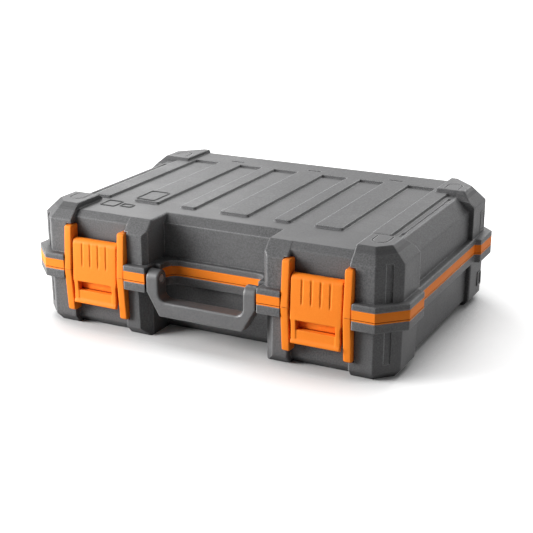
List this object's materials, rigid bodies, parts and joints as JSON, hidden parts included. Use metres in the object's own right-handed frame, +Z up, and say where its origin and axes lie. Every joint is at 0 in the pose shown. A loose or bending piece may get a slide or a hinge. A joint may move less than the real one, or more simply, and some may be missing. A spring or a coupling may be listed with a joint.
{
  "type": "hard tool case",
  "caption": "Hard plastic carrying case with a hinged ribbed lid, bright snap latches, bright rim trim and a swinging handle in a front recess.",
  "frame": {"origin": "on the ground under the middle of the whole case", "axes": "+X along the front to the right seen from the front, +Y from the front to the back, +Z up"},
  "size_m": [0.422, 0.323, 0.13],
  "materials": {
    "grey_plastic": "fine moulded grain",
    "bright_plastic": "satin, fine grain",
    "steel": "drawn rod"
  },
  "bodies": {
    "base": {"base_shell": "grey_plastic", "base_trim_front": "bright_plastic", "base_trim_rim": "bright_plastic", "base_latch_frame_left": "bright_plastic", "base_latch_frame_right": "bright_plastic", "hinge_pin_left": "steel", "hinge_pin_right": "steel"},
    "lid": {"lid_shell": "grey_plastic", "lid_trim_front": "bright_plastic", "lid_trim_rim": "bright_plastic", "lid_latch_frame_left": "bright_plastic", "lid_latch_frame_right": "bright_plastic", "latch_pin_left": "steel", "latch_pin_right": "steel", "handle_pin_left": "steel", "handle_pin_right": "steel"},
    "latch_left": {"latch_left": "bright_plastic"},
    "latch_right": {"latch_right": "bright_plastic"},
    "handle": {"handle": "grey_plastic"}
  },
  "joints": [
    {"name": "lid_hinge", "type": "hinge", "parent": "base", "child": "lid", "pos_m": [0, 0.1565, 0.0637], "axis": [-1, 0, 0], "range_deg": [0, 110]},
    {"name": "latch_left_hinge", "type": "hinge", "parent": "lid", "child": "latch_left", "pos_m": [-0.12555, -0.1495, 0.092], "axis": [-1, 0, 0], "range_deg": [0, 105]},
    {"name": "latch_right_hinge", "type": "hinge", "parent": "lid", "child": "latch_right", "pos_m": [0.12555, -0.1495, 0.092], "axis": [-1, 0, 0], "range_deg": [0, 105]},
    {"name": "handle_hinge", "type": "hinge", "parent": "lid", "child": "handle", "pos_m": [0, -0.1495, 0.0685], "axis": [-1, 0, 0], "range_deg": [0, 110]}
  ]
}
